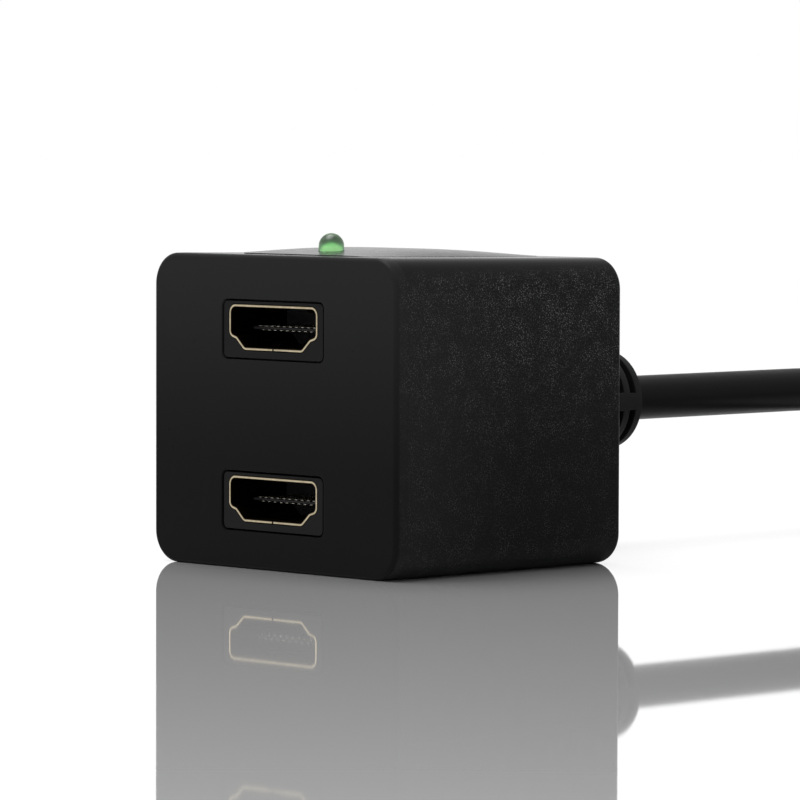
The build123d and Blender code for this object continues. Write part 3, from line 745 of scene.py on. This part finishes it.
# The panel is split along its middle, so that both windows come out the same in every run.
form = bmesh.new()
block_along_y(form, body_corners, front_y, panel_back, edge_steps)
bevel(form, edges_at(form, front_y), panel_round, 5)
split(form, (0, 0, 0), (1, 0, 0))
for height in port_heights.values():
    tool = bmesh.new()
    block_along_y(tool, window_corners(height), front_y - beyond, panel_back + beyond)
    carve(form, tool)
inside = [
    edge
    for edge in edges_at(form, front_y)
    if all(abs(vert.co.x) < window_half_width + hair for vert in edge.verts)
]
bevel(form, inside, window_round)
spigot = bmesh.new()
spigot_corners = grown(body_corners, -wall - spigot_gap)
wall_along_y(spigot, spigot_corners, panel_back - overlap, panel_back + spigot_length)
bmesh.ops.recalc_face_normals(spigot, faces=spigot.faces)
thicken(spigot, spigot_thick)
for side in (-1, 1):
    for z in bead_heights:
        x = side * (half_width - wall - spigot_gap)
        upright_rod(spigot, bead_radius, z - bead_half, z + bead_half, x, bead_y, sides=16)
join(form, spigot)
put("end_panel", form, satin_plastic, "panel_black", "front_panel")


# Top plate. A thin glossy plate is glued to the roof. It swells a little toward its middle and has
# a hole for the light. On one long side it lies close to the roof. Its face is bare.
plate_half = 10 * mm
plate_front = -14 * mm
plate_back = 15 * mm
plate_edge = 0.1 * mm
plate_rise = 0.8 * mm
plate_corner = 1.5 * mm
plate_strips = 24

plate_plastic = Finish("plate plastic", ink(22, 22, 23), 0.3, specular_ior_level=0.4)
plate_plastic.set(roughness=0.19 + 0.13 * plate_plastic.noise(1.2 * mm))
plate_plastic.bump(plate_plastic.noise(0.4 * mm), 0.003 * mm)

form = bmesh.new()
plate_low = (-plate_half, plate_front, housing_top)
plate_high = (plate_half, plate_back, housing_top + plate_edge)
box(form, plate_low, plate_high)
upright = [edge for edge in form.edges if abs(edge.verts[0].co.z - edge.verts[1].co.z) > hair]
bevel(form, upright, plate_corner, 8)
plate_middle = (plate_front + plate_back) / 2
plate_reach = plate_back - plate_middle
for index in range(1, plate_strips):
    share = 2 * index / plate_strips - 1
    split(form, (0, plate_middle + plate_reach * share, 0), (0, 1, 0))
    split(form, (plate_half * share, 0, 0), (1, 0, 0))

# Lengthwise the plate swells in an arch. Across it, most of the swell stays on the left, and on the
# right it fades out, down to a thin edge.
for vert in form.verts:
    if vert.co.z > housing_top + plate_edge / 2:
        along = (vert.co.y - plate_middle) / plate_reach
        across = vert.co.x / plate_half
        flat_share = across**4 if across > 0 else 0.4 * across**8
        vert.co.z += (plate_rise - plate_edge) * (1 - along**2) * (1 - flat_share)
        if across > 0:
            vert.co.z -= 0.8 * plate_edge * across**8
bmesh.ops.rotate(
    form,
    verts=form.verts,
    cent=(0, shell_y, housing_top),
    matrix=Matrix.Rotation(-math.atan2(roof_drop, back_y - shell_y), 3, "X"),
)
carve(form, led_hole(beyond))
put("roof_plate", form, plate_plastic, "label_black", "top_label", sharp=30)


# Strain relief. A tapered sleeve of soft rubber grips the cable where it leaves the box. Slots
# cut from above and below leave rings that bend, joined by a bridge on each side.
exit_y = 37.9 * mm
relief_end = 36.5 * mm
clamp_radius = 6.4 * mm
clamp_y = back_y - wall
flange_y = clamp_y - 1.8 * mm
neck_radius = 4.4 * mm
bore = 2.68 * mm
root_radius = 7.4 * mm
tip_radius = 5.85 * mm
nose_radius = 2.95 * mm
slot_floor = 3.55 * mm
slot_bridge = 2.2 * mm
slot_pitch = 2.2 * mm
slot_width = 1 * mm
slot_count = 7
first_slot = back_y + 3.1 * mm
ring_round = 0.15 * mm


def slot_row(first, pitch, width, count):
    """The start and the end of every slot in a row along Y."""
    starts = [first + index * pitch for index in range(count)]
    return [(start, start + width) for start in starts]


def cone(start, end, start_radius, end_radius, slots):
    """Points (radius, y) along a cone, at its ends and at both edges of every slot."""
    points = []
    for y in [start, *(y for slot in slots for y in slot), end]:
        share = (y - start) / (end - start)
        points.append((start_radius + (end_radius - start_radius) * share, y))
    return points


def slotted_sleeve(form, profile, slots, core_radius, bridge, x, z, steps):
    """Turns a profile of (radius, y) about a line along Y, then sinks its slots to the core.

    Every slot is a pair of Y values, both on the profile. The bridges stay at the two sides.
    """
    outline(form, [(x + radius, y, z) for radius, y in profile], closed=True)
    spin_round(form, (x, 0, z), (0, 1, 0), steps)
    bmesh.ops.recalc_face_normals(form, faces=form.faces)
    for start, end in slots:
        sunk = []
        for face in form.faces:
            middle = face.calc_center_median()
            outside = math.hypot(middle.x - x, middle.z - z) > core_radius
            if outside and start < middle.y < end and abs(middle.z - z) > bridge / 2:
                sunk.append(face)
        made = bmesh.ops.extrude_face_region(form, geom=sunk)["geom"]
        bmesh.ops.delete(form, geom=sunk, context="FACES")
        for vert in only_verts(made):
            share = core_radius / math.hypot(vert.co.x - x, vert.co.z - z)
            vert.co.x = x + (vert.co.x - x) * share
            vert.co.z = z + (vert.co.z - z) * share


rubber = Finish("relief rubber", ink(14, 14, 15), 0.6, specular_ior_level=0.1)
rubber.set(roughness=0.52 + 0.16 * rubber.noise(0.8 * mm))
rubber.bump(rubber.noise(0.12 * mm), 0.012 * mm)

slots = slot_row(first_slot, slot_pitch, slot_width, slot_count)
profile = [
    (bore, flange_y),
    (clamp_radius, flange_y),
    (clamp_radius, clamp_y),
    (neck_radius, clamp_y),
    (neck_radius, back_y),
    *cone(back_y, relief_end, root_radius, tip_radius, slots),
    (slot_floor, relief_end),
    (nose_radius, exit_y),
    (bore, exit_y),
]
form = bmesh.new()
slotted_sleeve(form, profile, slots, slot_floor, slot_bridge, 0, cable_z, 72)
bevel(form, sharp_edges(form, back_y + hair, relief_end, 50), ring_round)
relief_sleeve = put("relief_sleeve", form, rubber, "relief_black", "strain_relief")


# Cable. A round lead with a satin jacket runs straight back from the sleeve. What such a lead has
# beyond that is put away in one and a half turns on the floor, and comes back to its plug.
jacket_radius = 2.65 * mm
coil_turn_radius = 28 * mm
coil_pitch = 5.9 * mm
coil_top = 15.516 * mm
coil_floor = 3.3 * mm
coil_y = 94 * mm
coil_slope = -0.1102
descent_turns = 0.5
widening_turns = 0.75
coil_turns = 1.5
points_per_turn = 16
coil_points = round(coil_turns * points_per_turn)
tail_x = 2 * coil_turn_radius + coil_pitch
tail_y = 60.5 * mm
plug_z = 5.5 * mm
bend_y = 88.7 * mm

jacket = Finish("cable jacket", ink(11, 11, 11), 0.4, specular_ior_level=0.05)
jacket.set(roughness=0.32 + 0.14 * jacket.noise(1.5 * mm))
jacket.bump(jacket.noise(0.5 * mm), 0.01 * mm)


def coil_point(turn):
    """The coil's line: it comes down in its first half turn, then widens by one pitch."""
    share = min(turn / descent_turns, 1)
    height = coil_top - (coil_top - coil_floor) * (3 * share**2 - 2 * share**3)
    height += coil_slope * math.pi * coil_turn_radius * share * (1 - share) ** 2
    widened = min(max(turn - descent_turns, 0) / widening_turns, 1)
    radius = (coil_turn_radius + coil_pitch * widened) / math.cos(math.pi / points_per_turn)
    angle = math.pi - 2 * math.pi * turn
    x = coil_turn_radius + radius * math.cos(angle)
    return (x, coil_y + radius * math.sin(angle), height)


route = [
    (0, exit_y, cable_z),
    (0, 63.3 * mm, cable_z),
    (0, 76 * mm, cable_z),
    (0, bend_y, 16.1 * mm),
    *(coil_point((index + 0.5) / points_per_turn) for index in range(coil_points)),
    (tail_x, bend_y, coil_floor),
    (tail_x, 80 * mm, coil_floor),
    (tail_x, 69 * mm, plug_z),
    (tail_x, tail_y, plug_z),
]
line = bpy.data.curves.new("cable", "CURVE")
line.dimensions = "3D"
spline = line.splines.new("NURBS")
spline.points.add(len(route) - 1)
for point, place in zip(spline.points, route):
    point.co = (*place, 1)
spline.order_u = 3
spline.use_endpoint_u = True
spline.resolution_u = 12
line.bevel_depth = jacket_radius
line.bevel_resolution = 8
line.use_fill_caps = True
line.materials.append(jacket.material)
cable = place_object("cable", line)
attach(cable, "root")
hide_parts("cable_lead", "cable_coil", "cable_tail")
dress(jacket, "cable_jacket_stub")


# Tie. A narrow hook-and-loop strap of woven nylon is wound round the two passes of the cable that
# lie side by side, and closes on itself.
tie_middle = 2 * coil_turn_radius + coil_pitch / 2
tie_half_width = 5.75 * mm
tie_half_height = 2.8 * mm
tie_half_length = 2 * mm
tie_sheet = 0.5 * mm

strap = Finish("hook and loop strap", ink(26, 26, 27), 0.9)
strap.set(roughness=0.8 + 0.2 * strap.noise(0.3 * mm))
strap.bump(strap.noise(0.18 * mm, 4, 0.7), 0.12 * mm)

form = bmesh.new()
low, high = coil_floor - tie_half_height, coil_floor + tie_half_height
band = oblong(tie_half_width, low, high, jacket_radius, tie_middle)
wall_along_y(form, band, coil_y - tie_half_length, coil_y + tie_half_length, segments=8)
bmesh.ops.recalc_face_normals(form, faces=form.faces)
thicken(form, -tie_sheet)
tie = put("strap", form, strap, "tie_black", "coil_tie")


# Plug. The cable ends in a plug with a soft grip moulded over it and grooved at its sides, its own
# small slotted sleeve, and a nickel shell of folded sheet round the contacts.
grip_end = 48.5 * mm
grip_start = 27.5 * mm
taper_length = 5 * mm
grip_half_width = 10.3 * mm
grip_half_height = 5.4 * mm
grip_radius = 2.6 * mm
grip_end_width = 14.5 * mm
grip_end_height = 9 * mm
grip_start_round = 0.6 * mm
grip_end_round = 0.5 * mm
groove_radius = 0.45 * mm
groove_pitch = 1.8 * mm
groove_count = 4
sleeve_root = 4.3 * mm
sleeve_tip = 3.4 * mm
sleeve_core = 2.95 * mm
sleeve_bridge = 2 * mm
sleeve_bore = 0.5 * mm
sleeve_pitch = 2.1 * mm
sleeve_slot = 0.9 * mm
sleeve_count = 4
plug_tip = 15.6 * mm
plug_half = 6.65 * mm
plug_top = 1.925 * mm
plug_side = 2.6 * mm
plug_sheet = 0.3 * mm
core_fit = 0.04 * mm
core_face = plug_tip + 0.3 * mm
slot_end = plug_tip + 8.6 * mm
slot_half_width = 5.7 * mm
slot_half_height = 0.6 * mm
strip_start = plug_tip + 1.3 * mm
strip_inner = 0.55 * mm
strip_outer = 0.75 * mm

grip_plastic = Finish("grip plastic", ink(20, 20, 21), 0.5, specular_ior_level=0.2)
grip_plastic.set(roughness=0.48 + 0.16 * grip_plastic.noise(1 * mm))
grip_plastic.bump(grip_plastic.noise(0.2 * mm), 0.015 * mm)

form = bmesh.new()
first_slot = tail_y - sleeve_count * sleeve_pitch
slots = slot_row(first_slot, sleeve_pitch, sleeve_slot, sleeve_count)
profile = [
    (sleeve_bore, grip_end),
    *cone(grip_end, tail_y, sleeve_root, sleeve_tip, slots),
    (sleeve_bore, tail_y),
]
slotted_sleeve(form, profile, slots, sleeve_core, sleeve_bridge, tail_x, plug_z, 48)
plug_sleeve = put("plug_sleeve", form, rubber, "relief_black", "plug_relief")

form = bmesh.new()
low, high = plug_z - grip_half_height, plug_z + grip_half_height
grip_corners = oblong(grip_half_width, low, high, grip_radius, tail_x)
taper_start = grip_end - taper_length
block_along_y(form, grip_corners, grip_start, taper_start, 8)
bevel(form, edges_at(form, grip_start), grip_start_round, 3)
end_face = faces_at(form, taper_start)
made = bmesh.ops.extrude_face_region(form, geom=end_face)["geom"]
bmesh.ops.delete(form, geom=end_face, context="FACES")
end_verts = only_verts(made)
end_shares = (grip_end_width / (2 * grip_half_width), 1, grip_end_height / (2 * grip_half_height))
plug_middle = Matrix.Translation((-tail_x, 0, -plug_z))
bmesh.ops.scale(form, verts=end_verts, vec=end_shares, space=plug_middle)
bmesh.ops.translate(form, verts=end_verts, vec=(0, taper_length, 0))
bevel(form, edges_at(form, grip_end), grip_end_round, 3)
tool = bmesh.new()
for side in (-1, 1):
    for index in range(groove_count):
        x = tail_x + side * grip_half_width
        y = (grip_start + taper_start) / 2 + (index - (groove_count - 1) / 2) * groove_pitch
        upright_rod(tool, groove_radius, -beyond, high + beyond, x, y, sides=16)
carve(form, tool)
plug_body = put("plug_body", form, grip_plastic, "grip_black", "plug_grip")

nickel = Finish("nickel plating", ink(206, 204, 198), 0.25, metallic=1.0)
nickel.set(roughness=0.2 + 0.16 * nickel.noise(0.4 * mm))
plug_d = d_corners(plug_z, plug_half, plug_top, plug_side, tail_x)
form = bmesh.new()
wall_along_y(form, plug_d, plug_tip, grip_start)
thicken(form, -plug_sheet)
bevel(form, edges_at(form, plug_tip), sheet_round)
plug_metal = put("plug_metal", form, nickel, "nickel", "plug_shell")

form = bmesh.new()
block_along_y(form, grown(plug_d, -core_fit), core_face, grip_start)
tool = bmesh.new()
low = (tail_x - slot_half_width, plug_tip - beyond, plug_z - slot_half_height)
high = (tail_x + slot_half_width, slot_end, plug_z + slot_half_height)
box(tool, low, high)
carve(form, tool)
plug_core = put("plug_core", form, tongue_plastic, "tongue_black", "plug_insulator")

form = bmesh.new()
contact_rows(form, (tail_x, plug_z), strip_inner, strip_outer, strip_start, slot_end)
plug_strips = put("plug_strips", form, contact_metal, "contact_gold", "plug_contacts")


# Stage. A polished white table lies under a broad soft lamp, with white all round it, and the
# camera looks along it with a long lens, from where the photograph was taken.
floor_form = bmesh.new()
bmesh.ops.create_grid(floor_form, x_segments=1, y_segments=1, size=6)
floor_mesh = bpy.data.meshes.new("table")
floor_form.to_mesh(floor_mesh)
floor_form.free()
floor = place_object("table", floor_mesh)
polish = Finish("polished table", (0.98, 0.98, 0.98), 0.03, coat_weight=1.0, coat_roughness=0.03)
floor_mesh.materials.append(polish.material)

world = bpy.data.worlds.new("studio")
bpy.context.scene.world = world
sky = ShaderTree(world)
rays = [
    sky.node("LightPath", output=name)
    for name in ("Is Camera Ray", "Is Glossy Ray", "Is Transmission Ray")
]
seen = rays[0].maths("MAXIMUM", rays[0], rays[1].maths("MAXIMUM", rays[1], rays[2]))
fill = 0.4
background = sky.nodes["Background"]
background.inputs["Color"].default_value = (1, 1, 1, 1)
sky.join(background.inputs["Strength"], fill + (1 - fill) * seen)

lamp_data = bpy.data.lights.new("soft box", "AREA")
lamp_data.shape = "RECTANGLE"
lamp_data.size = 0.9
lamp_data.size_y = 0.7
lamp_data.energy = 13
lamp = place_object("soft box", lamp_data)
lamp.location = (-0.2, -0.1, 1.0)
lamp.rotation_mode = "QUATERNION"
lamp.rotation_quaternion = lamp.location.to_track_quat("Z", "Y")

target = Vector((0, 0, 17.5 * mm))
turn, rise, roll = math.radians(46.04), math.radians(3.16), math.radians(0.17)
away = Vector((math.sin(turn) * math.cos(rise), -math.cos(turn) * math.cos(rise), math.sin(rise)))
camera_data = bpy.data.cameras.new("camera")
camera_data.sensor_width = 36
camera_data.lens = 225.1
camera_data.shift_x = 0.0156
camera_data.shift_y = 0.0125
camera_data.clip_start = 0.01
camera = place_object("camera", camera_data)
camera.location = target + away * 0.5737
camera.rotation_mode = "QUATERNION"
camera.rotation_quaternion = away.to_track_quat("Z", "Y") @ Quaternion((0, 0, 1), roll)
bpy.context.scene.camera = camera
bpy.context.scene.view_settings.view_transform = "Standard"
